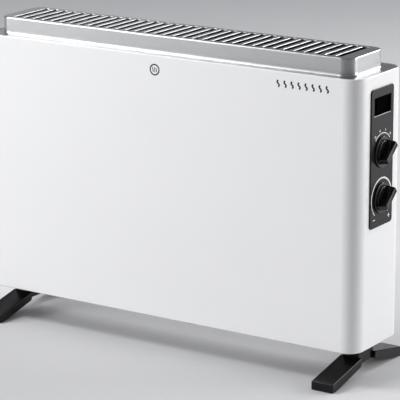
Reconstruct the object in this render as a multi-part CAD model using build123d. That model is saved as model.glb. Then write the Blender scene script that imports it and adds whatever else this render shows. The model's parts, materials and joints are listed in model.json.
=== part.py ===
from build123d import *
import os
from math import cos, pi, sin

# Free-standing fan convector heater, in millimetres.
# X runs along the heater (controls on the +X end), the front faces -Y, and Z is up from the floor.
# Everything is laid out about the middle of the casing. FRAME_X then moves the whole part, so that
# its origin is the middle of the floor area that it covers, knobs included.
# A tool that cuts right through runs at least 1 mm past the material on both sides.

# Casing: a wrapped sheet-steel housing, closed behind by a rear panel
BODY_L = 596.0
BODY_D = 120.0
BODY_H = 360.0
FLOOR_GAP = 43.0
CORNER_R = 21.5
SHEET = 0.8
RIM_R = 1.8
RIM_W = 2.2
LEDGE_W = 12.0
LEDGE_DROP = 2.4
INLET_HALF_L = 248.0
INLET_HALF_D = 48.0
BODY_TOP = FLOOR_GAP + BODY_H
LEDGE_Z = BODY_TOP - LEDGE_DROP
FLOOR_Z = FLOOR_GAP + SHEET
RIGHT = BODY_L / 2
BACK = BODY_D / 2

# Screws, rivets and contact blades that are used in several places
TAPPING_R = 1.45
TAPPED_HOLE_R = 1.5
CLEARANCE_R = 1.7
WIDE_CLEARANCE_R = 2.1
RIVET_R = 1.6
RIVET_HEAD_R = 2.8
RIVET_HEAD_H = 1.0
CONTACT_HALF_W = 3.1
CONTACT_HALF_T = 0.4

# Rear panel
REAR_HALF_L = 264.0
REAR_SEAM = 0.15
REAR_DEPTH = 12.5
TONGUE_W = 20.0
TONGUE_Z0 = FLOOR_GAP + 8.0
TONGUE_Z1 = BODY_TOP - 10.0
REAR_SCREW_X = REAR_HALF_L + 5.5
REAR_SCREW_ZS = (FLOOR_GAP + 30, FLOOR_GAP + 180, FLOOR_GAP + 330)
LOUVRE_ROWS = (FLOOR_GAP + 48, FLOOR_GAP + 98, FLOOR_GAP + 300)
LOUVRES = 27
LOUVRE_PITCH = 16.0
LOUVRE_SHIFT = -16.0
LOUVRE_L = 34.0
LOUVRE_W = 6.0
REAR_SCREW_CLEARANCE_R = 1.9

# Silver top grille
GRILLE_L = 556.0
GRILLE_D = 87.0
GRILLE_RISE = 23.0
GRILLE_CORNER_R = 15.5
GRILLE_EDGE_R = 2.0
GRILLE_FLARE_R = 3.0
GRILLE_SKIN = 1.0
GRILLE_BAR_T = 1.8
GRILLE_SEAM = 0.3
SLOTS = 34
SLOT_PITCH = 15.41
SLOT_W = 9.0
SLOT_L = 73.0
SLOT_CORNER_R = 2.8
SLOT_LIP_R = 0.9
GRILLE_TOP = BODY_TOP + GRILLE_RISE
CLIP_XS = (-190.0, 0.0, 190.0)
CLIP_HALF_W = 7.0
CLIP_T = 0.7
CLIP_RISE = 12.0
CLIP_HOOK_REACH = 4.0
CLIP_GAP = 0.1
CLIP_HOOK_T = 0.8

# Base plate
BASE_T = 0.8
BASE_TOP = FLOOR_Z + BASE_T
BASE_INSET = 2.0
BASE_SCREW_XS = (-170.0, 40.0, 200.0)
BASE_SCREW_Y = BACK - 6.5
BASE_SLOTS = 33
BASE_SLOT_PITCH = 14.0
BASE_SLOT_L = 36.0
BASE_SLOT_W = 5.0
BASE_SLOT_ROWS = (-27.0, 27.0)
BASE_RINGS = 5
BASE_RING_PITCH = 8.0
BASE_HOLE_R = 2.6
FAN_ZONE_HALF_L = 62.0

# Feet
FOOT_W = 32.0
FOOT_INSET = 13.3
FOOT_X = RIGHT - FOOT_INSET - FOOT_W / 2
FOOT_HALF_L = 93.0
FOOT_PEAK_DROP = 13.0
FOOT_SLOPE = 0.2
FOOT_WALL = 2.5
FOOT_BLOCK_W = 24.0
FOOT_BLOCK_HALF_L = 18.0
FOOT_SOLE_L = 9.0
FOOT_EDGE_R = 1.5
FOOT_SCREW_Y = 9.0
FOOT_TOE_T = FLOOR_GAP - FOOT_PEAK_DROP - FOOT_SLOPE * FOOT_HALF_L
FOOT_BLOCK_DROP = 2.0
FOOT_KNEE_R = 5.0
FOOT_TOE_R = 2.0
FOOT_SCREW_R = 2.0
FOOT_BORE_R = 2.2
FOOT_COUNTERBORE_R = 4.4
FOOT_COUNTERBORE_Z = 34.0

# Control panel on the right-hand end
PANEL_W = 57.6
PANEL_H = 182.0
PANEL_Z = 294.4
PANEL_T = 1.8
PANEL_CORNER_R = 5.0
PANEL_FACE = RIGHT + PANEL_T
PANEL_EDGE_R = 0.7
PANEL_SHAFT_HOLE_R = 4.0
WALL_SHAFT_HOLE_R = 5.0
BOSS_YS = (-21.5, 21.5)
BOSS_ZS = (213.5, 333.5)
BOSS_R = 3.2
BRACKET_X = RIGHT - 10.0
BRACKET_T = 1.2
BRACKET_BACK = BRACKET_X - BRACKET_T
BRACKET_HALF_D = 30.0
BRACKET_FLANGE = 9.0
BRACKET_END = 8.0

# Rocker switch
ROCKER_Z = 361.9
WINDOW_W = 42.8
WINDOW_H = 23.0
WINDOW_CHAMFER = 0.6
BEZEL_GAP = 0.3
BEZEL_T = 1.2
SWITCH_DEPTH = 22.0
SWITCH_HALF_W = 19.2
SWITCH_HALF_H = 9.2
SWITCH_WALL = 1.2
POCKET_DEPTH = 12.0
ROCKER_HALF_W = 16.9
ROCKER_HALF_H = 7.75
ROCKER_PIVOT_X = RIGHT - 3.5
ROCKER_TILT = 5.0
ROCKER_AXLE_R = 1.4
ROCKER_AXLE_HALF_L = 8.8
RUNNING_GAP = 0.05

# Rotary controls
SELECTOR_Z = 300.9
THERMOSTAT_Z = 240.5
KNOB_REACH = 16.5
SKIRT_R = 20.4
SKIRT_GAP = 0.4
SKIRT_T = 2.0
HUB_R = 15.0
HUB_T = 1.6
GRIP_T = 8.4
GRIP_ROOT = (-18.0, 18.0)
GRIP_CREST = (-14.5, 16.5)
GRIP_EDGE_R = 1.1
SHAFT_R = 3.0
BUSH_R = 4.8
BUSH_REACH = 5.0
NUT_ACROSS = 13.0
NUT_T = 2.4
SHAFT_FLAT = 2.2
FLAT_START = 3.0
SHAFT_END = 12.0
POINTER_FROM_VERTICAL = 50.0
SELECTOR_DEPTH = 22.0
SELECTOR_HALF_W = 15.0
SELECTOR_BORE = 14.0
THERMOSTAT_DEPTH = 16.0
THERMOSTAT_HALF_W = 12.0
THERMOSTAT_HALF_H = 17.0
THERMOSTAT_BORE = 10.0
ROTARY_CONTACT_L = 8.0

# Heating chamber
SHIELD_X = 233.0
ELEMENT_X0 = -245.0
ELEMENT_X1 = 185.0
ELEMENT_YS = (-26.0, 26.0)
ELEMENT_Z = 172.0
ELEMENT_CORE_R = 4.5
FIN_T = 1.3
FIN_REACH_Y = 17.0
FIN_REACH_Z = 32.0
SUPPORT_T = 1.2
SUPPORT_GAP = 8.0
SUPPORT_TOP = 212.0
SUPPORT_HALF_D = 51.6
SUPPORT_FLANGE = 16.0
SUPPORT_FLANGE_Y = 28.0
SUPPORT_TAB = 14.0
SUPPORT_SCREW_REACH = 8.0
SUPPORT_SCREW_Y = 40.0
SUPPORT_OPENING_HALF_D = 34.0
SLEEVE_R = 8.0
REFLECTOR_T = 0.6
REFLECTOR_Z0 = 108.0
REFLECTOR_Z1 = 330.0
REFLECTOR_LIP = 8.0
PIN_R = 2.5
NECK_R = 6.0
RIVET_ZS = (126.0, 200.0)
RIVET_INSET = 7.0
SHIELD_HALF_D = 57.0
SHIELD_FLANGE = 12.0
WIRE_HOLE_Y = -35.0
WIRE_HOLE_Z = 90.0
WIRE_HOLE_R = 7.0
CUTOUT_R = 8.0
CUTOUT_Z = SUPPORT_TOP - 12.0
CUTOUT_FACE = ELEMENT_X1 + SUPPORT_GAP + SUPPORT_T

# Fan under the heating elements
FAN_X = -30.0
IMPELLER_R = 42.0
SHROUD_R = 44.5
FAN_PLATE_Z = 84.0
FAN_PLATE_HALF_L = 54.0
FAN_PLATE_HALF_D = 50.0
FAN_COLLAR_H = 18.0
FAN_LEG_HALF_W = 3.0
FAN_LEG_HALF_T = 0.6
STRAP_HALF_L = 46.0
STRAP_HALF_W = 4.0
FAN_LEG_X = 50.0
FAN_LEG_Y = 40.0
MOTOR_Z0 = 56.0
MOTOR_STACK = 16.0
MOTOR_Z1 = MOTOR_Z0 + MOTOR_STACK
MOTOR_SCREW_YS = (-17.0, 17.0)
STATOR_HALF_L = 17.0
STATOR_HALF_D = 22.0
LIMB_Y = 13.0
LIMB_X0 = 33.0
LIMB_X1 = 42.0
COIL_T = 5.0
BRIDGE_HALF_W = 5.0
BRIDGE_H = 6.0
BEARING_H = 8.0
ROTOR_R = 11.2
MOTOR_SHAFT_R = 1.6
BLADES = 5
BLADE_T = 1.2
BLADE_PITCH = 28.0
HUB_H = 11.0

# Terminal block, and the cable gland in the rear panel, both in the control compartment
TERMINAL_X = 250.0
TERMINAL_YS = (31.5, 38.5)
GLAND_X = 244.0
GLAND_Z = 80.0
GLAND_R = 6.0
GLAND_BORE_R = 3.6
TERMINAL_L = 38.0
TERMINAL_PITCH = 12.0
TERMINAL_Z1 = BASE_TOP + 9.0

FRAME_X = -KNOB_REACH / 2
MIN = (Align.CENTER, Align.CENTER, Align.MIN)


# ---------------------------------------------------------------- shared shapes

def box(x0, x1, y0, y1, z0, z1):
    """A box given by its limits."""
    centre = Pos((x0 + x1) / 2, (y0 + y1) / 2, (z0 + z1) / 2)
    return centre * Box(x1 - x0, y1 - y0, z1 - z0)


def rod_x(x0, x1, y, z, radius):
    """A round bar along X."""
    return Location((x0, y, z), (0, 90, 0)) * Cylinder(radius, x1 - x0, align=MIN)


def rod_y(x, y0, y1, z, radius):
    """A round bar along Y."""
    return Location((x, y0, z), (-90, 0, 0)) * Cylinder(radius, y1 - y0, align=MIN)


def rod_z(x, y, z0, z1, radius):
    """A round bar along Z."""
    return Pos(x, y, z0) * Cylinder(radius, z1 - z0, align=MIN)


def rounded_prism(length, depth, radius, z0, z1):
    """A block with round upright corners, centred on the casing's axis."""
    return Pos(0, 0, z0) * extrude(RectangleRounded(length, depth, radius), z1 - z0)


def inset_prism(inset, z0, z1):
    """The casing's own outline, drawn in by an inset."""
    return rounded_prism(BODY_L - 2 * inset, BODY_D - 2 * inset, CORNER_R - inset, z0, z1)


def outline_edges(solid, level):
    """The edges of a solid that lie at its lowest (0) or highest (-1) level."""
    return solid.edges().group_by(Axis.Z)[level]


def screw(shank_r, length, head_r, head_h):
    """A pan-head screw: its head stands on Z=0 and its shank points down."""
    head = Cylinder(head_r, head_h, align=MIN)
    head = fillet(outline_edges(head, -1), head_h * 0.45)
    shank = rod_z(0, 0, -length, 0, shank_r)
    arm = head_r * 0.6
    slot = head_r * 0.14
    cross = box(-arm, arm, -slot, slot, head_h * 0.45, head_h + 1)
    cross += box(-slot, slot, -arm, arm, head_h * 0.45, head_h + 1)
    return head + shank - cross


def hex_nut(across_flats, bore_r, thickness):
    """A hexagon nut standing on Z=0."""
    nut = extrude(RegularPolygon(across_flats / 2, 6, major_radius=False), thickness)
    return nut - rod_z(0, 0, -1, thickness + 1, bore_r)


def contact_blade(x0, x1, y, z):
    """A flat push-on contact along X, upright."""
    return box(x0, x1, y - CONTACT_HALF_T, y + CONTACT_HALF_T, z - CONTACT_HALF_W, z + CONTACT_HALF_W)


def level_contact(x0, x1, z):
    """A flat push-on contact along X, lying flat on the middle plane."""
    return box(x0, x1, -CONTACT_HALF_W, CONTACT_HALF_W, z - CONTACT_HALF_T, z + CONTACT_HALF_T)


def facing(origin, x_dir, z_dir):
    """The place of a piece whose own Z points along z_dir."""
    return Plane(origin=origin, x_dir=x_dir, z_dir=z_dir).location


def save(name, pieces):
    """Write one node, which may be a group of separate solids."""
    group = pieces if isinstance(pieces, list) else [pieces]
    solids = [solid for piece in group for solid in piece.solids()]
    moved = [Pos(FRAME_X, 0, 0) * solid for solid in solids]
    shape = moved[0] if len(moved) == 1 else Compound(children=moved)
    export_step(shape, f"parts/{name}.step")


# ---------------------------------------------------------------- casing

def casing():
    """The whole painted skin, before the rear panel is parted from it."""
    skin = inset_prism(0, FLOOR_GAP, BODY_TOP)
    skin = fillet(outline_edges(skin, 0) + outline_edges(skin, -1), RIM_R)
    room = inset_prism(SHEET, FLOOR_Z, LEDGE_Z)
    room = fillet(outline_edges(room, 0), RIM_R - SHEET)
    grille_seat = inset_prism(RIM_W, LEDGE_Z + SHEET, BODY_TOP + 1)
    outlet = inset_prism(LEDGE_W, LEDGE_Z - 1, BODY_TOP)
    inlet = box(-INLET_HALF_L, INLET_HALF_L, -INLET_HALF_D, INLET_HALF_D, FLOOR_GAP - 1, FLOOR_Z + 1)
    return skin - room - grille_seat - outlet - inlet


def rear_zone(margin):
    """The part of the casing that belongs to the rear panel, drawn in by a margin."""
    half = REAR_HALF_L - margin
    return box(-half, half, BACK - REAR_DEPTH + margin, BACK + 1, FLOOR_GAP - 1, BODY_TOP + 1)


def foot_screw_places():
    return [(side * FOOT_X, y) for side in (-1, 1) for y in (-FOOT_SCREW_Y, FOOT_SCREW_Y)]


def base_screw_places():
    return [(x, side * BASE_SCREW_Y) for x in BASE_SCREW_XS for side in (-1, 1)]


def rear_screw_places():
    return [(side * REAR_SCREW_X, z) for side in (-1, 1) for z in REAR_SCREW_ZS]


def front_housing(skin):
    """Front, both ends and the narrow rear returns, bent from one sheet."""
    housing = skin - rear_zone(0)
    wall0, wall1 = RIGHT - SHEET - 1, RIGHT + 1
    half_w, half_h = SWITCH_HALF_W + 0.2, SWITCH_HALF_H + 0.2
    cuts = [box(wall0, wall1, -half_w, half_w, ROCKER_Z - half_h, ROCKER_Z + half_h)]
    cuts += [rod_x(wall0, wall1, 0, z, WALL_SHAFT_HOLE_R) for z in (SELECTOR_Z, THERMOSTAT_Z)]
    cuts += [rod_x(wall0, wall1, y, z, BOSS_R + 0.2) for y in BOSS_YS for z in BOSS_ZS]
    cuts += [rod_z(x, y, FLOOR_GAP - 1, FLOOR_Z + 1, WIDE_CLEARANCE_R)
             for x, y in foot_screw_places() + support_screw_places()]
    cuts += [rod_z(x, y, FLOOR_GAP - 1, FLOOR_Z + 1, CLEARANCE_R) for x, y in base_screw_places() if y < 0]
    cuts += [rod_y(x, BACK - 2, BACK + 1, z, REAR_SCREW_CLEARANCE_R) for x, z in rear_screw_places()]
    return housing - cuts


def rear_panel(skin):
    """Rear sheet with air louvres, and a tongue behind each of the housing's returns."""
    panel = skin & rear_zone(REAR_SEAM)
    inner = BACK - SHEET
    for side in (-1, 1):
        x0, x1 = sorted((side * (REAR_HALF_L - TONGUE_W / 2), side * (REAR_HALF_L + TONGUE_W / 2)))
        panel += box(x0, x1, inner - SHEET, inner, TONGUE_Z0, TONGUE_Z1)
    first = LOUVRE_SHIFT - (LOUVRES - 1) / 2 * LOUVRE_PITCH
    louvre = extrude(SlotOverall(LOUVRE_L, LOUVRE_W, rotation=90), 4)
    cuts = []
    for row in LOUVRE_ROWS:
        for i in range(LOUVRES):
            place = Location((first + i * LOUVRE_PITCH, BACK + 1, row), (90, 0, 0))
            cuts.append(place * louvre)
    cuts += [rod_y(x, BACK - 3, BACK + 1, z, TAPPED_HOLE_R) for x, z in rear_screw_places()]
    cuts += [rod_z(x, y, FLOOR_GAP - 1, FLOOR_Z + 1, CLEARANCE_R) for x, y in base_screw_places() if y > 0]
    cuts.append(rod_y(GLAND_X, BACK - 3, BACK + 1, GLAND_Z, GLAND_R + 0.1))
    return panel - cuts


def top_grille():
    """Pressed silver cap: a flange in the housing's rim, a raised wall and a slotted top."""
    flange_z0 = LEDGE_Z + SHEET
    flange_z1 = flange_z0 + GRILLE_SKIN
    flange = inset_prism(RIM_W + GRILLE_SEAM, flange_z0, flange_z1)
    cap = rounded_prism(GRILLE_L, GRILLE_D, GRILLE_CORNER_R, flange_z0, GRILLE_TOP)
    cap = fillet(outline_edges(cap, -1), GRILLE_EDGE_R)
    grille = flange + cap
    level_edges = grille.edges().filter_by_position(Axis.Z, flange_z1 - 0.01, flange_z1 + 0.01)
    foot_line = [edge for edge in level_edges
                 if abs(edge.center().X) < GRILLE_L / 2 + 1 and abs(edge.center().Y) < GRILLE_D / 2 + 1]
    grille = fillet(foot_line, GRILLE_FLARE_R)
    grille -= rounded_prism(GRILLE_L - 2 * GRILLE_SKIN, GRILLE_D - 2 * GRILLE_SKIN,
                            GRILLE_CORNER_R - GRILLE_SKIN, flange_z0 - 1, GRILLE_TOP - GRILLE_BAR_T)
    slot = extrude(RectangleRounded(SLOT_W, SLOT_L, SLOT_CORNER_R), GRILLE_BAR_T + 2)
    first = -(SLOTS - 1) / 2 * SLOT_PITCH
    grille -= [Pos(first + i * SLOT_PITCH, 0, GRILLE_TOP - GRILLE_BAR_T - 1) * slot for i in range(SLOTS)]
    lips = [edge for edge in grille.edges().filter_by_position(Axis.Z, GRILLE_TOP - 0.01, GRILLE_TOP + 0.01)
            if abs(edge.center().Y) < SLOT_L / 2 + 0.1
            and abs(edge.center().X) < -first + SLOT_W / 2 + 0.1]
    return fillet(lips, SLOT_LIP_R)


def grille_clips():
    """Spring clips inside the cap that hook under the housing's ledge."""
    clips = []
    wall = GRILLE_D / 2 - GRILLE_SKIN
    hook_z1 = LEDGE_Z - CLIP_GAP
    hook_z0 = hook_z1 - CLIP_HOOK_T
    for x in CLIP_XS:
        for side in (-1, 1):
            near, far = sorted((side * (wall - CLIP_T), side * wall))
            clip = box(x - CLIP_HALF_W, x + CLIP_HALF_W, near, far, hook_z0, BODY_TOP + CLIP_RISE)
            near, far = sorted((side * (wall - CLIP_T), side * (BACK - LEDGE_W + CLIP_HOOK_REACH)))
            clip += box(x - CLIP_HALF_W, x + CLIP_HALF_W, near, far, hook_z0, hook_z1)
            clips.append(clip)
    return clips


def base_plate():
    """Floor of the casing: air slots along it and a ring pattern of holes under the fan."""
    plate = inset_prism(BASE_INSET, FLOOR_Z, BASE_TOP)
    slot = extrude(SlotOverall(BASE_SLOT_L, BASE_SLOT_W, rotation=90), 4)
    first = -(BASE_SLOTS - 1) / 2 * BASE_SLOT_PITCH
    cuts = []
    for i in range(BASE_SLOTS):
        x = first + BASE_SLOT_PITCH * i
        if abs(x - FAN_X) < FAN_ZONE_HALF_L:
            continue
        cuts += [Pos(x, y, FLOOR_Z - 1) * slot for y in BASE_SLOT_ROWS]
    for ring in range(1, BASE_RINGS + 1):
        count = 6 * ring
        radius = BASE_RING_PITCH * ring
        for i in range(count):
            angle = 2 * pi * i / count
            x, y = FAN_X + radius * cos(angle), radius * sin(angle)
            cuts.append(rod_z(x, y, FLOOR_Z - 1, BASE_TOP + 1, BASE_HOLE_R))
    cuts += [rod_z(x, y, FLOOR_Z - 1, BASE_TOP + 1, WIDE_CLEARANCE_R) for x, y in foot_screw_places()]
    cuts += [rod_z(x, y, FLOOR_Z - 1, BASE_TOP + 1, TAPPED_HOLE_R)
             for x, y in base_screw_places() + support_screw_places()]
    return plate - cuts


# ---------------------------------------------------------------- feet

def foot_top(y):
    """Height of a foot's ridge above the floor, at a distance y from the middle."""
    return FLOOR_GAP - FOOT_PEAK_DROP - FOOT_SLOPE * y


def foot():
    """One moulded foot: two sloping arms on a block that is screwed under the casing."""
    inner_z = foot_top(FOOT_BLOCK_HALF_L)
    half = FOOT_W / 2
    outline = Polyline((FOOT_BLOCK_HALF_L, inner_z), (FOOT_HALF_L, FOOT_TOE_T), (FOOT_HALF_L, 0),
                       (FOOT_HALF_L - FOOT_SOLE_L, 0), (FOOT_BLOCK_HALF_L, inner_z - FOOT_TOE_T), close=True)
    profile = make_face(outline)
    inner_corner = profile.vertices().group_by(Axis.X)[0].sort_by(Axis.Y)[0]
    profile = fillet(inner_corner, FOOT_KNEE_R)
    toe_corner = profile.vertices().group_by(Axis.X)[-1].sort_by(Axis.Y)[-1]
    profile = fillet(toe_corner, FOOT_TOE_R)
    arm = facing((-half, 0, 0), (0, 1, 0), (1, 0, 0)) * extrude(profile, FOOT_W)
    crest = [edge for edge in arm.edges() if abs(edge.center().X) > half - 0.1
             and (edge.center().Y > FOOT_HALF_L - 1 or edge.center().Z > foot_top(edge.center().Y) - 0.1)]
    arm = fillet(crest, FOOT_EDGE_R)
    reach = FOOT_HALF_L - FOOT_WALL
    start = FOOT_BLOCK_HALF_L + FOOT_WALL
    hollow = make_face(Polyline((start, foot_top(start) - FOOT_WALL), (reach, foot_top(reach) - FOOT_WALL),
                                (reach, -1), (start, -1), close=True))
    inside = facing((FOOT_WALL - half, 0, 0), (0, 1, 0), (1, 0, 0)) * extrude(hollow, FOOT_W - 2 * FOOT_WALL)
    arm -= inside
    block = FOOT_BLOCK_HALF_L + 1
    body = arm + arm.mirror(Plane.XZ)
    body += box(-FOOT_BLOCK_W / 2, FOOT_BLOCK_W / 2, -block, block,
                inner_z - FOOT_TOE_T + FOOT_BLOCK_DROP, FLOOR_GAP)
    for y in (-FOOT_SCREW_Y, FOOT_SCREW_Y):
        body -= rod_z(0, y, 0, FOOT_COUNTERBORE_Z, FOOT_COUNTERBORE_R)
        body -= rod_z(0, y, 0, FLOOR_GAP + 1, FOOT_BORE_R)
    return body


# ---------------------------------------------------------------- control panel

def control_panel():
    """Dark fascia with the rocker's window, two shaft holes and four screw bosses."""
    place = facing((RIGHT, 0, PANEL_Z), (0, 1, 0), (1, 0, 0))
    panel = place * extrude(RectangleRounded(PANEL_W, PANEL_H, PANEL_CORNER_R), PANEL_T)
    panel = fillet(panel.edges().group_by(Axis.X)[-1], PANEL_EDGE_R)
    window = box(RIGHT - 1, PANEL_FACE + 1, -WINDOW_W / 2, WINDOW_W / 2,
                 ROCKER_Z - WINDOW_H / 2, ROCKER_Z + WINDOW_H / 2)
    panel -= window
    window_edges = [edge for edge in panel.edges().group_by(Axis.X)[-1]
                    if abs(edge.center().Z - ROCKER_Z) < WINDOW_H / 2 + 0.1
                    and abs(edge.center().Y) < WINDOW_W / 2 + 0.1]
    panel = chamfer(window_edges, WINDOW_CHAMFER)
    panel -= [rod_x(RIGHT - 1, PANEL_FACE + 1, 0, z, PANEL_SHAFT_HOLE_R) for z in (SELECTOR_Z, THERMOSTAT_Z)]
    for y in BOSS_YS:
        for z in BOSS_ZS:
            panel += rod_x(BRACKET_X, RIGHT + 0.5, y, z, BOSS_R)
            panel -= rod_x(BRACKET_X - 1, RIGHT - 0.5, y, z, TAPPED_HOLE_R)
    return panel


def control_bracket():
    """Channel behind the fascia that carries the two rotary controls."""
    z0, z1 = BOSS_ZS[0] - BRACKET_END, BOSS_ZS[1] + BRACKET_END
    bracket = box(BRACKET_BACK, BRACKET_X, -BRACKET_HALF_D, BRACKET_HALF_D, z0, z1)
    for side in (-1, 1):
        y0, y1 = sorted((side * BRACKET_HALF_D, side * (BRACKET_HALF_D - BRACKET_T)))
        bracket += box(BRACKET_BACK - BRACKET_FLANGE, BRACKET_BACK, y0, y1, z0, z1)
    cuts = [rod_x(BRACKET_BACK - 1, BRACKET_X + 1, 0, z, BUSH_R + 0.2) for z in (SELECTOR_Z, THERMOSTAT_Z)]
    cuts += [rod_x(BRACKET_BACK - 1, BRACKET_X + 1, y, z, CLEARANCE_R) for y in BOSS_YS for z in BOSS_ZS]
    return bracket - cuts


def control_panel_screws():
    """Screws from the inside, through the bracket and into the fascia's bosses."""
    one = screw(shank_r=TAPPING_R, length=9.0, head_r=2.8, head_h=2.0)
    return [facing((BRACKET_BACK, y, z), (0, 1, 0), (-1, 0, 0)) * one
            for y in BOSS_YS for z in BOSS_ZS]


def rocker_frame():
    """Switch body behind the wall with a slim bezel in the fascia's window."""
    half_w, half_h = WINDOW_W / 2 - BEZEL_GAP, WINDOW_H / 2 - BEZEL_GAP
    frame = box(RIGHT, RIGHT + BEZEL_T, -half_w, half_w, ROCKER_Z - half_h, ROCKER_Z + half_h)
    frame += box(RIGHT - SWITCH_DEPTH, RIGHT, -SWITCH_HALF_W, SWITCH_HALF_W,
                 ROCKER_Z - SWITCH_HALF_H, ROCKER_Z + SWITCH_HALF_H)
    half_w, half_h = SWITCH_HALF_W - SWITCH_WALL, SWITCH_HALF_H - SWITCH_WALL
    frame -= box(RIGHT - POCKET_DEPTH, RIGHT + BEZEL_T + 1, -half_w, half_w,
                 ROCKER_Z - half_h, ROCKER_Z + half_h)
    half_axle = ROCKER_AXLE_HALF_L + 0.1
    return frame - rod_z(ROCKER_PIVOT_X, 0, ROCKER_Z - half_axle, ROCKER_Z + half_axle,
                         ROCKER_AXLE_R + RUNNING_GAP)


def rocker_button():
    """Dished rocker on a thin axle, at rest with its front half standing out."""
    half_w, crest, dish, shoulder, root = ROCKER_HALF_W, 4.7, 3.4, 0.5, 4.0
    top = ThreePointArc((crest, -half_w), (dish, 0), (crest, half_w))
    sides = Polyline((crest, half_w), (shoulder, half_w), (-root, root), (-root, -root),
                     (shoulder, -half_w), (crest, -half_w))
    profile = make_face(top + sides)
    button = Pos(0, 0, -ROCKER_HALF_H) * extrude(profile, 2 * ROCKER_HALF_H)
    rim = [edge for edge in button.edges() if edge.center().X > dish - 0.4]
    button = fillet(rim, 0.5)
    button += rod_z(0, 0, -ROCKER_AXLE_HALF_L, ROCKER_AXLE_HALF_L, ROCKER_AXLE_R)
    return Location((ROCKER_PIVOT_X, 0, ROCKER_Z), (0, 0, ROCKER_TILT)) * button


def rocker_terminals():
    """Three brass blades on the back of the rocker switch."""
    back = RIGHT - SWITCH_DEPTH
    return [contact_blade(back - 9, back, y, ROCKER_Z) for y in (-12, 0, 12)]


# ---------------------------------------------------------------- rotary controls

def control_shaft(back_x, z):
    """Steel spindle with a flat where the knob sits on it."""
    shaft = rod_x(back_x, RIGHT + SHAFT_END, 0, z, SHAFT_R)
    flat = box(FLAT_START, SHAFT_END + 1, SHAFT_FLAT, SHAFT_R + 1, -10, 10)
    return shaft - knob_turn(z) * flat


def knob_turn(z):
    """Place on the right-hand end whose X is outward and whose Z is the pointer's direction."""
    lean = POINTER_FROM_VERTICAL * pi / 180
    return facing((RIGHT, 0, z), (1, 0, 0), (0, sin(lean), cos(lean)))


def control_knob(z):
    """Round skirt with a tall grip whose outer edge is shorter than its root."""
    base = PANEL_T + SKIRT_GAP
    skirt_top = base + SKIRT_T
    skirt = rod_x(base, skirt_top, 0, 0, SKIRT_R)
    skirt = fillet(skirt.edges().group_by(Axis.X)[-1], SKIRT_T * 0.4)
    hub = rod_x(skirt_top, skirt_top + HUB_T, 0, 0, HUB_R)
    hub = fillet(hub.edges().group_by(Axis.X)[-1], HUB_T / 2)
    root = skirt_top - 0.5
    outline = Polyline((root, GRIP_ROOT[0]), (KNOB_REACH, GRIP_CREST[0]), (KNOB_REACH, GRIP_CREST[1]),
                       (root, GRIP_ROOT[1]), close=True)
    grip = facing((0, GRIP_T / 2, 0), (1, 0, 0), (0, -1, 0)) * extrude(make_face(outline), GRIP_T)
    crest = [edge for edge in grip.edges() if edge.center().X > skirt_top]
    grip = fillet(crest, GRIP_EDGE_R)
    groove = box(KNOB_REACH - 0.5, KNOB_REACH + 1, -0.7, 0.7, 3.0, SKIRT_R)
    bore = rod_x(0, SHAFT_END + 0.4, 0, 0, SHAFT_R + 0.02)
    bore -= box(FLAT_START, SHAFT_END + 1, SHAFT_FLAT + 0.02, SHAFT_R + 1, -10, 10)
    return knob_turn(z) * (skirt + hub + grip - groove - bore)


def control_nut(z):
    """Hexagon nut that holds a control's bush in the bracket."""
    return facing((BRACKET_X, 0, z), (0, 1, 0), (1, 0, 0)) * hex_nut(NUT_ACROSS, BUSH_R + 0.02, NUT_T)


def selector_switch():
    """Four-position rotary switch: moulded block, bush and contact blades."""
    back = BRACKET_BACK - SELECTOR_DEPTH
    block = box(back, BRACKET_BACK, -SELECTOR_HALF_W, SELECTOR_HALF_W,
                SELECTOR_Z - SELECTOR_HALF_W, SELECTOR_Z + SELECTOR_HALF_W)
    block = chamfer(block.edges().filter_by(Axis.X), 4.0)
    switch = block + rod_x(BRACKET_BACK, BRACKET_X + BUSH_REACH, 0, SELECTOR_Z, BUSH_R)
    switch -= rod_x(BRACKET_BACK - SELECTOR_BORE, BRACKET_X + BUSH_REACH + 1, 0, SELECTOR_Z,
                    SHAFT_R + RUNNING_GAP)
    for z in (-9, -3, 3, 9):
        switch += level_contact(back - ROTARY_CONTACT_L, back, SELECTOR_Z + z)
    return switch


def thermostat_body():
    """Ceramic thermostat block with its bush and contact blades."""
    back = BRACKET_BACK - THERMOSTAT_DEPTH
    block = box(back, BRACKET_BACK, -THERMOSTAT_HALF_W, THERMOSTAT_HALF_W,
                THERMOSTAT_Z - THERMOSTAT_HALF_H, THERMOSTAT_Z + THERMOSTAT_HALF_H)
    block = chamfer(block.edges().filter_by(Axis.X), 2.0)
    body = block + rod_x(BRACKET_BACK, BRACKET_X + BUSH_REACH, 0, THERMOSTAT_Z, BUSH_R)
    body -= rod_x(BRACKET_BACK - THERMOSTAT_BORE, BRACKET_X + BUSH_REACH + 1, 0, THERMOSTAT_Z,
                  SHAFT_R + RUNNING_GAP)
    for z in (-12, 12):
        body += level_contact(back - ROTARY_CONTACT_L - 1, back, THERMOSTAT_Z + z)
    return body


def thermostat_blade():
    """Bimetal strip on a pillar behind the thermostat."""
    back = BRACKET_BACK - THERMOSTAT_DEPTH
    half, stand_off, strip_t, pillar_h = 9.0, 4.2, 0.8, 4.0
    front, top = back - stand_off, THERMOSTAT_Z + half
    strip = box(front - strip_t, front, -half, half, THERMOSTAT_Z - half, top)
    return strip + box(front, back, -half, half, top - pillar_h, top)


# ---------------------------------------------------------------- heating chamber

def support_planes():
    """Inner face, outer face and outward sense of the two element supports."""
    left = ELEMENT_X0 - SUPPORT_GAP
    right = ELEMENT_X1 + SUPPORT_GAP
    return ((left, left - SUPPORT_T, -1), (right, right + SUPPORT_T, 1))


def support_screw_places():
    return [(outer + sense * SUPPORT_SCREW_REACH, side * SUPPORT_SCREW_Y)
            for _, outer, sense in support_planes() for side in (-1, 1)]


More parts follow.
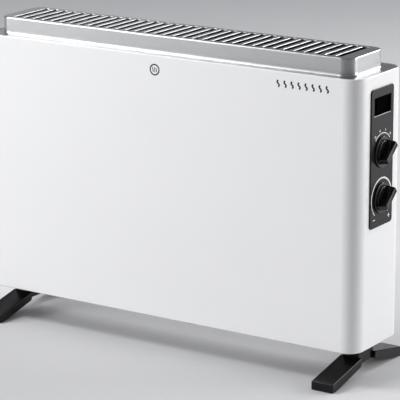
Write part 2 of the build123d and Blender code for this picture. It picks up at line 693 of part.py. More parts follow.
def heating_element(y):
    """Sheathed rod with four slanting aluminium fins, an X in section."""
    section = Circle(ELEMENT_CORE_R)
    for side_y in (-1, 1):
        for side_z in (-1, 1):
            tip = (side_y * FIN_REACH_Y, side_z * FIN_REACH_Z)
            ridge = Line((0, 0), tip)
            angle = ridge.tangent_angle_at(0)
            section += Pos(tip[0] / 2, tip[1] / 2) * Rectangle(ridge.length, FIN_T, rotation=angle)
    rod = extrude(section, ELEMENT_X1 - ELEMENT_X0)
    return facing((ELEMENT_X0, y, ELEMENT_Z), (0, 1, 0), (1, 0, 0)) * rod


def element_insulators():
    """Ceramic sleeves that carry the elements' ends in the supports."""
    pieces = []
    for y in ELEMENT_YS:
        for inner, outer, sense in support_planes():
            x0, x1 = sorted((inner, inner - sense * SUPPORT_GAP))
            sleeve = rod_x(x0, x1, y, ELEMENT_Z, SLEEVE_R)
            x0, x1 = sorted((inner, outer + sense * 6))
            sleeve += rod_x(x0, x1, y, ELEMENT_Z, NECK_R)
            sleeve -= rod_x(-RIGHT, RIGHT, y, ELEMENT_Z, PIN_R + 0.05)
            pieces.append(sleeve)
    return pieces


def element_terminals():
    """Connection pins out of the elements' ends, each with a flat blade."""
    pieces = []
    for y in ELEMENT_YS:
        for inner, outer, sense in support_planes():
            x0, x1 = sorted((inner - sense * SUPPORT_GAP, outer + sense * 9))
            pin = rod_x(x0, x1, y, ELEMENT_Z, PIN_R)
            x0, x1 = sorted((outer + sense * 8, outer + sense * 17))
            pieces.append(pin + contact_blade(x0, x1, y, ELEMENT_Z))
    return pieces


def element_support(inner, outer, sense):
    """Upright plate on the base with a foot, two holes for the sleeves and a tab at each edge."""
    x0, x1 = sorted((inner, outer))
    support = box(x0, x1, -SUPPORT_HALF_D, SUPPORT_HALF_D, BASE_TOP, SUPPORT_TOP)
    for side in (-1, 1):
        x0, x1 = sorted((outer, outer + sense * SUPPORT_FLANGE))
        y0, y1 = sorted((side * SUPPORT_FLANGE_Y, side * SUPPORT_HALF_D))
        support += box(x0, x1, y0, y1, BASE_TOP, BASE_TOP + SUPPORT_T)
        x0, x1 = sorted((inner, inner - sense * SUPPORT_TAB))
        y0, y1 = sorted((side * (SUPPORT_HALF_D - SUPPORT_T), side * SUPPORT_HALF_D))
        support += box(x0, x1, y0, y1, RIVET_ZS[0] - 10, SUPPORT_TOP)
    cuts = [rod_x(-RIGHT, RIGHT, y, ELEMENT_Z, NECK_R + 0.1) for y in ELEMENT_YS]
    cuts += [rod_z(x, y, BASE_TOP - 1, BASE_TOP + SUPPORT_T + 1, CLEARANCE_R)
             for x, y in support_screw_places()]
    cuts += [rod_y(inner - sense * RIVET_INSET, -BACK, BACK, z, RIVET_R) for z in RIVET_ZS]
    cuts.append(box(-RIGHT, RIGHT, -SUPPORT_OPENING_HALF_D, SUPPORT_OPENING_HALF_D,
                    BASE_TOP + 20, RIVET_ZS[0] - 4))
    return support - cuts


def support_screws():
    """Screws that hold the supports to the base plate."""
    one = screw(shank_r=TAPPING_R, length=4.5, head_r=2.8, head_h=2.0)
    return [Pos(x, y, BASE_TOP + SUPPORT_T) * one for x, y in support_screw_places()]


def reflector(side):
    """Thin bright sheet between the elements and the casing, with a lip along its top."""
    x0 = ELEMENT_X0 - SUPPORT_GAP
    x1 = ELEMENT_X1 + SUPPORT_GAP
    near, far = side * SUPPORT_HALF_D, side * (SUPPORT_HALF_D + REFLECTOR_T)
    y0, y1 = sorted((near, far))
    sheet = box(x0, x1, y0, y1, REFLECTOR_Z0, REFLECTOR_Z1)
    y0, y1 = sorted((near, near - side * REFLECTOR_LIP))
    sheet += box(x0, x1, y0, y1, REFLECTOR_Z1 - REFLECTOR_T, REFLECTOR_Z1)
    for inner, _, sense in support_planes():
        sheet -= [rod_y(inner - sense * RIVET_INSET, -BACK, BACK, z, RIVET_R) for z in RIVET_ZS]
    return sheet


def reflector_rivets():
    """Rivets through the reflectors and the supports' tabs."""
    pieces = []
    for inner, _, sense in support_planes():
        for z in RIVET_ZS:
            for side in (-1, 1):
                x = inner - sense * RIVET_INSET
                tab = side * (SUPPORT_HALF_D - SUPPORT_T)
                face = side * (SUPPORT_HALF_D + REFLECTOR_T)
                inside, outside = tab - side * RIVET_HEAD_H, face + side * RIVET_HEAD_H
                rivet = rod_y(x, *sorted((inside, outside)), z, RIVET_R)
                rivet += rod_y(x, *sorted((inside, tab)), z, RIVET_HEAD_R)
                rivet += rod_y(x, *sorted((face, outside)), z, RIVET_HEAD_R)
                pieces.append(rivet)
    return pieces


def control_shield():
    """Upright plate that keeps the heating chamber's air away from the controls."""
    half, flange_half = SHIELD_HALF_D, SHIELD_HALF_D - 7
    shield = box(SHIELD_X, SHIELD_X + SHEET, -half, half, BASE_TOP, LEDGE_Z - 4)
    shield += box(SHIELD_X, SHIELD_X + SHIELD_FLANGE, -flange_half, flange_half, BASE_TOP, BASE_TOP + SHEET)
    return shield - rod_x(SHIELD_X - 1, SHIELD_X + 2, WIRE_HOLE_Y, WIRE_HOLE_Z, WIRE_HOLE_R)


def wire_grommet():
    """Rubber ring in the shield's wire hole."""
    gap, lip_t, lip_r, bore_r = 0.1, 1.5, WIRE_HOLE_R + 2.0, 4.5
    near, far = SHIELD_X - gap, SHIELD_X + SHEET + gap
    ring = rod_x(near - lip_t, far + lip_t, WIRE_HOLE_Y, WIRE_HOLE_Z, WIRE_HOLE_R - gap)
    ring += rod_x(near - lip_t, near, WIRE_HOLE_Y, WIRE_HOLE_Z, lip_r)
    ring += rod_x(far, far + lip_t, WIRE_HOLE_Y, WIRE_HOLE_Z, lip_r)
    return ring - rod_x(near - lip_t - 1, far + lip_t + 1, WIRE_HOLE_Y, WIRE_HOLE_Z, bore_r)


def thermal_cutout():
    """Disc limiter on the right-hand support, with two contact blades."""
    back = CUTOUT_FACE + 7
    disc = rod_x(CUTOUT_FACE, back, 0, CUTOUT_Z, CUTOUT_R)
    disc += rod_x(CUTOUT_FACE, CUTOUT_FACE + 2, 0, CUTOUT_Z, CUTOUT_R + 2.5)
    for y in (-5, 5):
        disc += contact_blade(back, back + 8, y, CUTOUT_Z)
    return disc


# ---------------------------------------------------------------- fan

def fan_leg_places():
    return [(FAN_X + sx * FAN_LEG_X, sy * FAN_LEG_Y) for sx in (-1, 1) for sy in (-1, 1)]


def motor_screw_holes(z0, z1):
    return [rod_z(FAN_X, y, z0, z1, CLEARANCE_R) for y in MOTOR_SCREW_YS]


def fan_frame():
    """Sheet frame on four legs with the collar that the impeller turns in."""
    half_l, half_d = FAN_PLATE_HALF_L, FAN_PLATE_HALF_D
    frame = box(FAN_X - half_l, FAN_X + half_l, -half_d, half_d, FAN_PLATE_Z, FAN_PLATE_Z + SUPPORT_T)
    frame += rod_z(FAN_X, 0, FAN_PLATE_Z, FAN_PLATE_Z + FAN_COLLAR_H, SHROUD_R + 1.0)
    frame -= rod_z(FAN_X, 0, FAN_PLATE_Z - 1, FAN_PLATE_Z + FAN_COLLAR_H + 1, SHROUD_R)
    half_w, half_t = FAN_LEG_HALF_W, FAN_LEG_HALF_T
    for x, y in fan_leg_places():
        frame += box(x - half_w, x + half_w, y - half_t, y + half_t, BASE_TOP, FAN_PLATE_Z + 0.5)
        y0, y1 = sorted((y, y * 1.2))
        frame += box(x - half_w, x + half_w, y0, y1, BASE_TOP, BASE_TOP + SUPPORT_T)
    for y in MOTOR_SCREW_YS:
        frame += box(FAN_X - STRAP_HALF_L, FAN_X + STRAP_HALF_L, y - STRAP_HALF_W, y + STRAP_HALF_W,
                     FAN_PLATE_Z - SUPPORT_T, FAN_PLATE_Z)
    return frame - motor_screw_holes(FAN_PLATE_Z - 3, FAN_PLATE_Z + 1)


def motor_stator():
    """Stack of laminations: a closed loop with the rotor's bore in one limb."""
    stack = box(FAN_X - STATOR_HALF_L, FAN_X + LIMB_X1, -STATOR_HALF_D, STATOR_HALF_D, MOTOR_Z0, MOTOR_Z1)
    stack -= box(FAN_X + STATOR_HALF_L, FAN_X + LIMB_X0, -LIMB_Y, LIMB_Y, MOTOR_Z0 - 1, MOTOR_Z1 + 1)
    stack -= rod_z(FAN_X, 0, MOTOR_Z0 - 1, MOTOR_Z1 + 1, ROTOR_R + 0.4)
    return stack - motor_screw_holes(MOTOR_Z0 - 1, MOTOR_Z1 + 1)


def motor_coil():
    """Winding around the stator's far limb."""
    gap, half_l = 0.2, LIMB_Y - 0.5
    x0, x1 = FAN_X + LIMB_X0, FAN_X + LIMB_X1
    coil = box(x0 - 4, x1 + 4, -half_l, half_l, MOTOR_Z0 - COIL_T, MOTOR_Z1 + COIL_T)
    coil = fillet(coil.edges().filter_by(Axis.Y), 3.0)
    return coil - box(x0 - gap, x1 + gap, -LIMB_Y, LIMB_Y, MOTOR_Z0 - gap, MOTOR_Z1 + gap)


def bearing_bridges():
    """Two die-cast bridges that hold the rotor's shaft above and below the stator."""
    pieces = []
    half_w, half_l = BRIDGE_HALF_W, STATOR_HALF_D - 1
    for face, sense in ((MOTOR_Z0, -1), (MOTOR_Z1, 1)):
        low, high = sorted((face, face + sense * BRIDGE_H))
        bridge = box(FAN_X - half_w, FAN_X + half_w, -half_l, half_l, low, high)
        low, high = sorted((face - sense, face + sense * 3.5))
        bridge -= box(FAN_X - half_w - 1, FAN_X + half_w + 1, -LIMB_Y, LIMB_Y, low, high)
        low, high = sorted((face + sense * 2.5, face + sense * BEARING_H))
        bridge += rod_z(FAN_X, 0, low, high, half_w)
        bridge -= rod_z(FAN_X, 0, low - 1, high + 1, MOTOR_SHAFT_R + RUNNING_GAP)
        pieces.append(bridge - motor_screw_holes(face - BEARING_H, face + BEARING_H))
    return pieces


def fan_rotor():
    """Squirrel-cage rotor on its shaft."""
    shaft = rod_z(FAN_X, 0, MOTOR_Z0 - BEARING_H - 1, FAN_PLATE_Z + 16, MOTOR_SHAFT_R)
    return shaft + rod_z(FAN_X, 0, MOTOR_Z0, MOTOR_Z1, ROTOR_R)


def fan_impeller():
    """Hub with five pitched blades."""
    z0 = FAN_PLATE_Z + 3
    hub = rod_z(FAN_X, 0, z0, z0 + HUB_H, 9.0)
    hub = fillet(outline_edges(hub, -1), 1.5)
    root_x, root_y, tip_x, tip_y = 7.0, 5.0, IMPELLER_R - 3, 15.0
    sector = make_face(
        Line((root_x, -root_y), (tip_x, -tip_y))
        + ThreePointArc((tip_x, -tip_y), (IMPELLER_R, 0), (tip_x, tip_y))
        + Line((tip_x, tip_y), (root_x, root_y))
        + Line((root_x, root_y), (root_x, -root_y)))
    blade = Location((0, 0, 0), (BLADE_PITCH, 0, 0)) * (Pos(0, 0, -BLADE_T / 2) * extrude(sector, BLADE_T))
    blade &= rod_z(0, 0, -20, 20, IMPELLER_R)
    wheel = hub
    for i in range(BLADES):
        wheel += Location((FAN_X, 0, z0 + HUB_H / 2), (0, 0, 360 / BLADES * i)) * blade
    return wheel - rod_z(FAN_X, 0, z0 - 20, z0 + HUB_H + 2, MOTOR_SHAFT_R + 0.01)


def motor_screws():
    """Long screws through the bridges and the stator, up into the frame's cross straps."""
    low = MOTOR_Z0 - BRIDGE_H
    one = screw(shank_r=1.5, length=FAN_PLATE_Z + 2 - low, head_r=2.8, head_h=2.0)
    return [facing((FAN_X, y, low), (1, 0, 0), (0, 0, -1)) * one for y in MOTOR_SCREW_YS]


# ---------------------------------------------------------------- wiring pieces

def terminal_centres():
    return [TERMINAL_X + 7 + TERMINAL_PITCH * i for i in range(3)]


def terminal_block():
    """Three-pole block on the base plate in the control compartment."""
    middle_y = sum(TERMINAL_YS) / 2
    tower_z1 = TERMINAL_Z1 + 6
    block = box(TERMINAL_X, TERMINAL_X + TERMINAL_L, middle_y - 9, middle_y + 9, BASE_TOP, TERMINAL_Z1)
    for x in terminal_centres():
        block += box(x - 4.5, x + 4.5, middle_y - 7, middle_y + 7, TERMINAL_Z1, tower_z1)
        block -= [rod_z(x, y, TERMINAL_Z1, tower_z1 + 1, 2.3) for y in TERMINAL_YS]
    return block


def terminal_screws():
    """Clamp screws in the terminal block."""
    top = TERMINAL_Z1 + 4.5
    pieces = []
    for x in terminal_centres():
        for y in TERMINAL_YS:
            head = rod_z(x, y, TERMINAL_Z1, top, 2.25)
            pieces.append(head - box(x - 3, x + 3, y - 0.4, y + 0.4, top - 1, top + 1))
    return pieces


def cable_gland():
    """Moulded gland in the rear panel, ready for the mains lead."""
    flange_t, nose_l = 4.0, 9.0
    gland = rod_y(GLAND_X, BACK - 9, BACK, GLAND_Z, GLAND_R)
    flange = rod_y(GLAND_X, BACK, BACK + flange_t, GLAND_Z, GLAND_R + 3)
    gland += fillet(flange.edges().group_by(Axis.Y)[-1], 1.0)
    nose = Cone(GLAND_R + 1.0, GLAND_R - 0.8, nose_l, align=MIN)
    gland += Location((GLAND_X, BACK + flange_t - 0.5, GLAND_Z), (-90, 0, 0)) * nose
    return gland - rod_y(GLAND_X, BACK - 12, BACK + flange_t + nose_l + 1, GLAND_Z, GLAND_BORE_R)


def gland_nut():
    """Nut on the gland's thread, inside the panel."""
    nut = hex_nut(16.0, GLAND_R + 0.02, 4.0)
    return facing((GLAND_X, BACK - SHEET, GLAND_Z), (1, 0, 0), (0, -1, 0)) * nut


# ---------------------------------------------------------------- fasteners of the casing

def rear_panel_screws():
    one = screw(shank_r=TAPPING_R, length=7.0, head_r=3.4, head_h=2.2)
    return [facing((x, BACK, z), (1, 0, 0), (0, 1, 0)) * one for x, z in rear_screw_places()]


def base_plate_screws():
    one = screw(shank_r=TAPPING_R, length=6.0, head_r=3.2, head_h=2.0)
    return [facing((x, y, FLOOR_GAP), (1, 0, 0), (0, 0, -1)) * one for x, y in base_screw_places()]


def foot_screws():
    one = screw(shank_r=FOOT_SCREW_R, length=15.0, head_r=3.8, head_h=2.6)
    return [facing((x, y, FOOT_COUNTERBORE_Z), (1, 0, 0), (0, 0, -1)) * one for x, y in foot_screw_places()]


def foot_nuts():
    return [Pos(x, y, BASE_TOP) * hex_nut(7.0, FOOT_SCREW_R + 0.02, 3.2) for x, y in foot_screw_places()]


def main():
    os.makedirs("parts", exist_ok=True)
    skin = casing()
    save("front_housing", front_housing(skin))
    save("rear_panel", rear_panel(skin))
    save("rear_panel_screws", rear_panel_screws())
    save("top_grille", top_grille())
    save("grille_clips", grille_clips())
    save("base_plate", base_plate())
    save("base_plate_screws", base_plate_screws())
    save("foot_left", Pos(-FOOT_X, 0, 0) * foot())
    save("foot_right", Pos(FOOT_X, 0, 0) * foot())
    save("foot_screws", foot_screws())
    save("foot_nuts", foot_nuts())

    save("control_panel", control_panel())
    save("control_panel_screws", control_panel_screws())
    save("control_bracket", control_bracket())
    save("rocker_frame", rocker_frame())
    save("rocker_button", rocker_button())
    save("rocker_terminals", rocker_terminals())
    save("selector_switch", selector_switch())
    save("selector_shaft", control_shaft(BRACKET_BACK - SELECTOR_BORE + 1, SELECTOR_Z))
    save("selector_knob", control_knob(SELECTOR_Z))
    save("selector_nut", control_nut(SELECTOR_Z))
    save("thermostat_body", thermostat_body())
    save("thermostat_blade", thermostat_blade())
    save("thermostat_shaft", control_shaft(BRACKET_BACK - THERMOSTAT_BORE + 1, THERMOSTAT_Z))
    save("thermostat_knob", control_knob(THERMOSTAT_Z))
    save("thermostat_nut", control_nut(THERMOSTAT_Z))

    save("heating_element_front", heating_element(ELEMENT_YS[0]))
    save("heating_element_rear", heating_element(ELEMENT_YS[1]))
    save("element_insulators", element_insulators())
    save("element_terminals", element_terminals())
    left, right = support_planes()
    save("element_support_left", element_support(*left))
    save("element_support_right", element_support(*right))
    save("support_screws", support_screws())
    save("front_reflector", reflector(-1))
    save("rear_reflector", reflector(1))
    save("reflector_rivets", reflector_rivets())
    save("control_shield", control_shield())
    save("wire_grommet", wire_grommet())
    save("thermal_cutout", thermal_cutout())

    save("fan_frame", fan_frame())
    save("motor_stator", motor_stator())
    save("motor_coil", motor_coil())
    save("bearing_bridges", bearing_bridges())
    save("fan_rotor", fan_rotor())
    save("fan_impeller", fan_impeller())
    save("motor_screws", motor_screws())

    save("terminal_block", terminal_block())
    save("terminal_screws", terminal_screws())
    save("cable_gland", cable_gland())
    save("gland_nut", gland_nut())


if __name__ == "__main__":
    main()
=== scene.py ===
import json
from math import cos, pi, radians, sin

import bmesh
import bpy
from mathutils import Matrix, Vector


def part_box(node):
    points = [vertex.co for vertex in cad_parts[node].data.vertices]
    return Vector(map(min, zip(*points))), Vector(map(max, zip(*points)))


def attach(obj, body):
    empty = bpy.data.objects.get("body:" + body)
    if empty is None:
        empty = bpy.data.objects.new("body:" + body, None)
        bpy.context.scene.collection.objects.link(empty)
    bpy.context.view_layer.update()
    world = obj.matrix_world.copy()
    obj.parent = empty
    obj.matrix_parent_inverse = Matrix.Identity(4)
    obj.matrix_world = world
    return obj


# Looks of a fan convector heater: materials for every CAD piece, printed marks, studio and camera.
# Lengths are in metres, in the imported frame: +X towards the control end, -Y is the front, floor at z = 0.

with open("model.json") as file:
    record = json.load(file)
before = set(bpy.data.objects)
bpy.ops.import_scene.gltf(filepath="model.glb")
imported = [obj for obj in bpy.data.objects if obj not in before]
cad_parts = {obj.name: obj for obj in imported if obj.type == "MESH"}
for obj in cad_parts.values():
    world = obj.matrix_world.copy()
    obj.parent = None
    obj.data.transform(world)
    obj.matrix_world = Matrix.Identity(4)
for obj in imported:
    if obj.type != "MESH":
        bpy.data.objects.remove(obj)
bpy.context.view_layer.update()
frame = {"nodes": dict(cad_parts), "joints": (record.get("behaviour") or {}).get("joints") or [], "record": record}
nodes = frame["nodes"]
joints = {joint["name"]: joint for joint in frame["joints"]}
MM = 0.001

housing_low, housing_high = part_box("front_housing")
MIDDLE_X = (housing_low.x + housing_high.x) / 2
HALF_L = (housing_high.x - housing_low.x) / 2
HALF_D = max(-housing_low.y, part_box("rear_panel")[1].y)
FRONT_Y = -HALF_D
BODY_TOP = housing_high.z
BODY_BOTTOM = housing_low.z
GRILLE_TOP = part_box("top_grille")[1].z
PANEL_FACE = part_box("control_panel")[1].x
BODY_CORNER_R = 21.5 * MM
BODY_RIM_DROP = 3 * MM
SHEET = 0.8 * MM
CAP_HALF_L = 278 * MM
CAP_HALF_D = 43.5 * MM
CAP_CORNER_R = 15.5 * MM
CAP_SKIN = 0.5 * MM
SLOT_LIP = 0.9 * MM


# ---------------------------------------------------------------- material building blocks

class Shader:
    """One procedural material. Its textures use object coordinates, so they move with the piece."""

    def __init__(self, name, **sockets):
        self.material = bpy.data.materials.new(name)
        self.material.use_nodes = True
        self.nodes = self.material.node_tree.nodes
        self.links = self.material.node_tree.links
        self.surface = self.nodes["Principled BSDF"]
        self.coords = self.nodes.new("ShaderNodeTexCoord").outputs["Object"]
        for socket, value in sockets.items():
            self.surface.inputs[socket.replace("_", " ")].default_value = value

    def stretched(self, factors):
        mapping = self.nodes.new("ShaderNodeMapping")
        mapping.inputs["Scale"].default_value = factors
        self.links.new(self.coords, mapping.inputs["Vector"])
        return mapping.outputs["Vector"]

    def noise(self, scale, detail=3.0, roughness=0.5, factors=(1, 1, 1)):
        texture = self.nodes.new("ShaderNodeTexNoise")
        texture.inputs["Scale"].default_value = scale
        texture.inputs["Detail"].default_value = detail
        texture.inputs["Roughness"].default_value = roughness
        self.links.new(self.stretched(factors), texture.inputs["Vector"])
        return texture.outputs["Fac"]

    def cells(self, scale, output="Color"):
        texture = self.nodes.new("ShaderNodeTexVoronoi")
        texture.inputs["Scale"].default_value = scale
        self.links.new(self.coords, texture.inputs["Vector"])
        return texture.outputs[output]

    def bands(self, direction, scale, distortion):
        texture = self.nodes.new("ShaderNodeTexWave")
        texture.bands_direction = direction
        texture.inputs["Scale"].default_value = scale
        texture.inputs["Distortion"].default_value = distortion
        self.links.new(self.coords, texture.inputs["Vector"])
        return texture.outputs["Fac"]

    def ramp(self, value, low, high, start=0.3, end=0.7):
        """Stretch the value's middle part, from start to end, over low to high."""
        spread = self.nodes.new("ShaderNodeMapRange")
        spread.inputs["From Min"].default_value = start
        spread.inputs["From Max"].default_value = end
        spread.inputs["To Min"].default_value = low
        spread.inputs["To Max"].default_value = high
        self.links.new(value, spread.inputs["Value"])
        return spread.outputs["Result"]

    def mix(self, factor, first, second):
        blend = self.nodes.new("ShaderNodeMix")
        blend.data_type = "RGBA"
        self.links.new(factor, blend.inputs["Factor"])
        sockets = [s for s in blend.inputs if s.type == "RGBA"]
        for socket, colour in zip(sockets, (first, second)):
            if isinstance(colour, bpy.types.NodeSocket):
                self.links.new(colour, socket)
            else:
                socket.default_value = (*colour, 1.0)
        return next(s for s in blend.outputs if s.type == "RGBA")

    def math(self, operation, first, second=0.0):
        node = self.nodes.new("ShaderNodeMath")
        node.operation = operation
        for socket, value in zip(node.inputs, (first, second)):
            if isinstance(value, bpy.types.NodeSocket):
                self.links.new(value, socket)
            else:
                socket.default_value = value
        return node.outputs[0]

    def inside(self, half_l, half_d, corner_r, skin, low_z, high_z):
        """1 well inside a round-cornered upright box, 0 on its outer skin."""
        moved = self.nodes.new("ShaderNodeVectorMath")
        moved.operation = "SUBTRACT"
        moved.inputs[1].default_value = (MIDDLE_X, 0, 0)
        self.links.new(self.coords, moved.inputs[0])
        parts = self.nodes.new("ShaderNodeSeparateXYZ")
        self.links.new(moved.outputs[0], parts.inputs[0])
        x, y, z = parts.outputs
        past = []
        for place, half in ((x, half_l), (y, half_d)):
            beyond = self.math("SUBTRACT", self.math("ABSOLUTE", place), half - corner_r)
            beyond = self.math("MAXIMUM", beyond, 0.0)
            past.append(self.math("MULTIPLY", beyond, beyond))
        from_corner = self.math("SQRT", self.math("ADD", *past))
        within = self.math("LESS_THAN", from_corner, corner_r - skin)
        above = self.math("GREATER_THAN", z, low_z)
        below = self.math("LESS_THAN", z, high_z)
        return self.math("MULTIPLY", within, self.math("MULTIPLY", above, below))

    def colour(self, socket):
        self.links.new(socket, self.surface.inputs["Base Color"])

    def rough(self, socket):
        self.links.new(socket, self.surface.inputs["Roughness"])

    def bump(self, *layers):
        """Each layer is (height socket, depth in metres)."""
        normal = None
        for height, depth in layers:
            node = self.nodes.new("ShaderNodeBump")
            node.inputs["Strength"].default_value = 1.0
            node.inputs["Distance"].default_value = depth
            self.links.new(height, node.inputs["Height"])
            if normal:
                self.links.new(normal, node.inputs["Normal"])
            normal = node.outputs["Normal"]
        self.links.new(normal, self.surface.inputs["Normal"])


def white_enamel():
    """Baked white enamel, faint orange peel outside; the inside of the casing is painted near-black as painted
    shade, since little light gets in there.
    """
    m = Shader("white_enamel", Coat_Weight=0.35, Coat_Roughness=0.12)
    outer = m.mix(m.noise(9, 4), (0.82, 0.82, 0.815), (0.85, 0.85, 0.845))
    painted_shade_colour = m.mix(m.noise(60, 4), (0.030, 0.030, 0.032), (0.055, 0.055, 0.056))
    # Painted shade: this mask picks out the casing's inner surfaces, which get a near-black colour instead of the
    # white.
    painted_shade_mask = m.inside(HALF_L, HALF_D, BODY_CORNER_R, SHEET / 2,
                      BODY_BOTTOM + SHEET / 2, BODY_TOP - BODY_RIM_DROP)
    m.colour(m.mix(painted_shade_mask, outer, painted_shade_colour))
    m.rough(m.ramp(m.noise(45, 3), 0.30, 0.40))
    m.bump((m.noise(750, 2), 0.014 * MM), (m.noise(55, 2), 0.05 * MM))
    return m.material


def silver_lacquer():
    """Satin silver lacquer with fine metal flake; the underside of the cap and the bar sides below the slot lips
    are painted near-black and non-metallic as painted shade.
    """
    m = Shader("silver_lacquer", Coat_Weight=0.2, Coat_Roughness=0.2)
    flake = m.mix(m.noise(2400, 2), (0.37, 0.373, 0.38), (0.46, 0.463, 0.47))
    outer = m.mix(m.ramp(m.noise(6, 2), 0, 0.4, start=0.2, end=0.8), flake, (0.40, 0.403, 0.41))
    painted_shade_colour = m.mix(m.noise(60, 4), (0.022, 0.022, 0.023), (0.040, 0.040, 0.042))
    # Painted shade: inside the cap and below the slot lips the colour turns near-black and the metal is switched
    # off.
    painted_shade_mask = m.inside(CAP_HALF_L, CAP_HALF_D, CAP_CORNER_R, CAP_SKIN, 0, GRILLE_TOP - SLOT_LIP)
    m.colour(m.mix(painted_shade_mask, outer, painted_shade_colour))
    m.links.new(m.ramp(painted_shade_mask, 0.92, 0.0, start=0, end=1), m.surface.inputs["Metallic"])
    m.rough(m.ramp(m.noise(9, 2), 0.27, 0.31, start=0.2, end=0.8))
    m.bump((m.noise(1600, 2), 0.003 * MM), (m.noise(20, 1), 0.03 * MM))
    return m.material


def plastic(name, dark, light, rough, grain, depth_mm, **sockets):
    """Moulded plastic: spark-eroded grain, slow colour drift and smoother rubbed patches."""
    m = Shader(name, **sockets)
    drift = m.mix(m.noise(22, 4), dark, light)
    pale = tuple(c * 1.25 for c in light)
    m.colour(m.mix(m.ramp(m.noise(420, 3), 0, 0.35, start=0.5, end=0.75), drift, pale))
    m.rough(m.ramp(m.noise(70, 5, 0.6), *rough))
    pits = m.cells(grain * 0.6, "Distance")
    m.bump((m.noise(grain, 3, 0.6), depth_mm * MM), (pits, depth_mm * MM * 0.6))
    return m.material


def zinc_plate():
    """Zinc-plated sheet: soft spangle and a slight blue and straw cast."""
    m = Shader("zinc_plate", Metallic=1.0)
    spangle = m.mix(m.cells(150), (0.50, 0.52, 0.54), (0.66, 0.66, 0.64))
    m.colour(m.mix(m.ramp(m.noise(30, 5), 0, 0.5), spangle, (0.58, 0.57, 0.52)))
    m.rough(m.ramp(m.noise(90, 5), 0.32, 0.52))
    m.bump((m.cells(150, "Distance"), 0.02 * MM), (m.noise(900, 2), 0.01 * MM))
    return m.material


def rolled_metal(name, dark, light, rough, along=(1, 30, 30)):
    """Rolled or turned metal with fine lines along one direction."""
    m = Shader(name, Metallic=1.0)
    lines = m.noise(60, 6, 0.7, along)
    m.colour(m.mix(lines, dark, light))
    m.rough(m.ramp(m.noise(40, 4, 0.6), *rough))
    m.bump((lines, 0.01 * MM), (m.noise(1200, 2), 0.006 * MM))
    return m.material


def heated_aluminium():
    """Element fins: dull aluminium with straw and brown heat tint."""
    m = Shader("heated_aluminium", Metallic=0.9)
    dull = m.mix(m.noise(55, 5), (0.34, 0.33, 0.31), (0.50, 0.48, 0.45))
    m.colour(m.mix(m.ramp(m.noise(18, 3), 0, 0.7), dull, (0.36, 0.27, 0.17)))
    m.rough(m.ramp(m.noise(120, 4), 0.45, 0.65))
    m.bump((m.noise(600, 3), 0.02 * MM))
    return m.material


def brass():
    m = Shader("brass", Metallic=1.0)
    m.colour(m.mix(m.noise(80, 5), (0.52, 0.37, 0.13), (0.74, 0.56, 0.25)))
    m.rough(m.ramp(m.noise(160, 4), 0.25, 0.48))
    m.bump((m.noise(900, 3), 0.01 * MM))
    return m.material


def steatite():
    """Unglazed white ceramic with fine pores."""
    m = Shader("steatite")
    m.colour(m.mix(m.noise(90, 6), (0.66, 0.63, 0.55), (0.80, 0.78, 0.71)))
    m.rough(m.ramp(m.noise(200, 4), 0.55, 0.78))
    m.bump((m.noise(1400, 3), 0.03 * MM), (m.cells(1000, "Distance"), 0.02 * MM))
    return m.material


def laminations():
    """Stacked stator sheets under dark varnish: lines across their height."""
    m = Shader("laminations", Metallic=0.5)
    lines = m.bands("Z", scale=95.493, distortion=0.4)
    m.colour(m.mix(lines, (0.035, 0.030, 0.028), (0.13, 0.125, 0.12)))
    m.rough(m.ramp(m.noise(90, 3), 0.38, 0.6))
    m.bump((lines, 0.08 * MM), (m.noise(700, 2), 0.01 * MM))
    return m.material


def coil_tape():
    """Amber tape over the winding: overlapping turns show as faint bands."""
    m = Shader("coil_tape", Coat_Weight=0.3, Coat_Roughness=0.25)
    turns = m.bands("X", scale=55, distortion=1.2)
    m.colour(m.mix(turns, (0.42, 0.22, 0.03), (0.66, 0.42, 0.07)))
    m.rough(m.ramp(m.noise(120, 3), 0.30, 0.48))
    m.bump((turns, 0.06 * MM), (m.noise(800, 2), 0.01 * MM))
    return m.material


def floor_paper():
    """Pale backdrop paper with a soft, slow unevenness."""
    m = Shader("floor_paper")
    m.colour(m.mix(m.noise(3, 5), (0.66, 0.66, 0.67), (0.70, 0.70, 0.71)))
    m.rough(m.ramp(m.noise(12, 4), 0.55, 0.7))
    return m.material


def printed_ink(name, dark, light):
    """Screen-printed ink: slightly uneven film."""
    m = Shader(name)
    m.colour(m.mix(m.noise(500, 4), dark, light))
    m.rough(m.ramp(m.noise(300, 3), 0.45, 0.62))
    m.bump((m.noise(1800, 2), 0.004 * MM))
    return m.material


